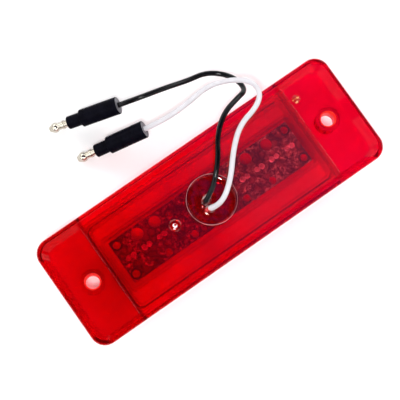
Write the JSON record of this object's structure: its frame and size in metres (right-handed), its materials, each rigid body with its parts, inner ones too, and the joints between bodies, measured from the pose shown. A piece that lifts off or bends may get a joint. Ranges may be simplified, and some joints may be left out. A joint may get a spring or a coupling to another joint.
{
  "type": "trailer tail light",
  "caption": "Rectangular sealed red LED tail lamp for a trailer, with an ear and screw hole at each end and two back wires that end in male bullet plugs.",
  "frame": {"origin": "middle of the front lens face, which lies on z = 0", "axes": "+X along the lamp through both mounting holes, +Y towards the long edge that the wires lead over, +Z out of the back of the lamp"},
  "size_m": [0.1556, 0.0973, 0.0247],
  "materials": {
    "red_lens": "glossy transparent red",
    "red_plate": "glossy transparent red",
    "clear_resin": "clear poured resin, glossy",
    "board": "solder-masked glass-epoxy laminate, satin",
    "solder": "bright cast solder",
    "tinned_wire": "tinned, satin",
    "led_epoxy": "water-clear epoxy",
    "chip_ceramic": "satin",
    "diode_body": "satin moulded epoxy",
    "black_insulation": "satin soft vinyl",
    "white_insulation": "satin soft vinyl",
    "plug_sleeve": "satin moulded vinyl",
    "nickel_plate": "bright nickel plate"
  },
  "bodies": {
    "root": {"lens_housing": "red_lens", "back_plate": "red_plate", "vent_seal": "clear_resin", "potting_resin": "clear_resin", "circuit_board": "board", "solder_joints": "solder", "led_leads": "tinned_wire", "lead_in_cores": "tinned_wire", "led_1": "led_epoxy", "led_2": "led_epoxy", "led_3": "led_epoxy", "led_4": "led_epoxy", "led_5": "led_epoxy", "led_6": "led_epoxy", "led_7": "led_epoxy", "led_8": "led_epoxy", "resistor_1": "chip_ceramic", "resistor_2": "chip_ceramic", "resistor_3": "chip_ceramic", "resistor_4": "chip_ceramic", "diode_1": "diode_body", "diode_2": "diode_body", "black_lead_in": "black_insulation", "black_wire": "black_insulation", "black_wire_end": "black_insulation", "black_plug_sleeve": "plug_sleeve", "black_plug_terminal": "nickel_plate", "white_lead_in": "white_insulation", "white_wire": "white_insulation", "white_wire_end": "white_insulation", "white_plug_sleeve": "plug_sleeve", "white_plug_terminal": "nickel_plate"}
  },
  "joints": []
}
